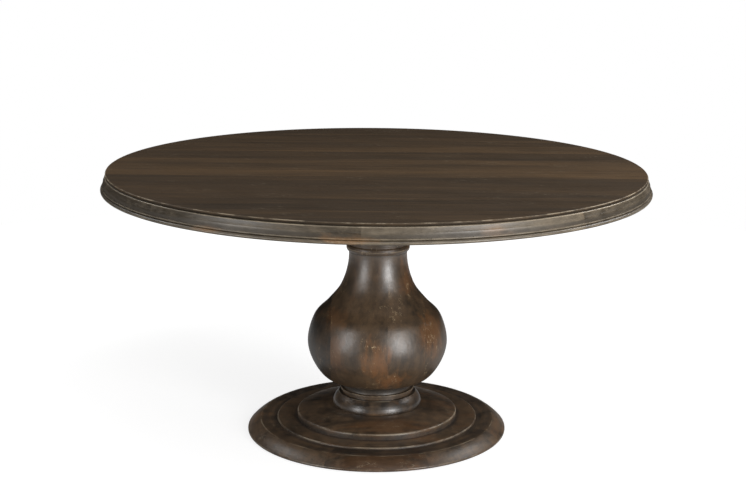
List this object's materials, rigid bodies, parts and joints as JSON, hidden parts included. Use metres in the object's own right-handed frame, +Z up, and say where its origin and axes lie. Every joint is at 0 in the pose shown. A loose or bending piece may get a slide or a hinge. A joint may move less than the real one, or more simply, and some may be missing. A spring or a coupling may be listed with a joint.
{
  "type": "round pedestal table",
  "caption": "Round dining table in dark stained hardwood: a boarded top with a moulded rim on a turned, urn-shaped pedestal over a stepped round base, held by a central tie rod.",
  "frame": {"origin": "on the floor, on the axis of the column", "axes": "+Z up, X along the boards of the top, -Y towards the viewer of the picture"},
  "size_m": [1.5224, 1.5224, 0.762],
  "materials": {
    "top_wood": "dark brown stained hardwood, satin lacquer, fine straight grain along X",
    "rim_wood": "dark brown stained hardwood, satin lacquer, arrises rubbed paler",
    "column_wood": "dark brown stained hardwood, satin lacquer, with warm rubbed patches and upright grain",
    "base_wood": "dark brown stained hardwood, satin lacquer, arrises rubbed paler",
    "underside_wood": "thinly stained hardwood, matt, out of sight under the top",
    "steel": "zinc plated steel",
    "glide_plastic": "black nylon"
  },
  "bodies": {
    "root": {"top_board_01": "top_wood", "top_board_02": "top_wood", "top_board_03": "top_wood", "top_board_04": "top_wood", "top_board_05": "top_wood", "top_board_06": "top_wood", "top_board_07": "top_wood", "top_board_08": "top_wood", "top_board_09": "top_wood", "top_board_10": "top_wood", "top_board_11": "top_wood", "rim_segment_1": "rim_wood", "rim_segment_2": "rim_wood", "rim_segment_3": "rim_wood", "rim_segment_4": "rim_wood", "rim_segment_5": "rim_wood", "rim_segment_6": "rim_wood", "rim_segment_7": "rim_wood", "rim_segment_8": "rim_wood", "cleat_left": "underside_wood", "cleat_right": "underside_wood", "cleat_screw_1": "steel", "cleat_screw_2": "steel", "cleat_screw_3": "steel", "cleat_screw_4": "steel", "cleat_screw_5": "steel", "cleat_screw_6": "steel", "cleat_screw_7": "steel", "cleat_screw_8": "steel", "mounting_disc": "underside_wood", "mounting_lag_screw_1": "steel", "mounting_lag_screw_2": "steel", "mounting_lag_screw_3": "steel", "mounting_lag_screw_4": "steel", "capital": "column_wood", "bulb_side_left": "column_wood", "column_core_left": "column_wood", "column_core_right": "column_wood", "bulb_side_right": "column_wood", "foot_ring": "base_wood", "upper_disc": "base_wood", "middle_disc": "base_wood", "base_ring_segment_1": "base_wood", "base_ring_segment_2": "base_wood", "base_ring_segment_3": "base_wood", "base_ring_segment_4": "base_wood", "base_ring_segment_5": "base_wood", "base_ring_segment_6": "base_wood", "base_ring_segment_7": "base_wood", "base_ring_segment_8": "base_wood", "tie_rod": "steel", "lower_washer": "steel", "lower_nut": "steel", "upper_washer": "steel", "upper_nut": "steel", "glide_1": "glide_plastic", "glide_2": "glide_plastic", "glide_3": "glide_plastic", "glide_4": "glide_plastic"}
  },
  "joints": []
}
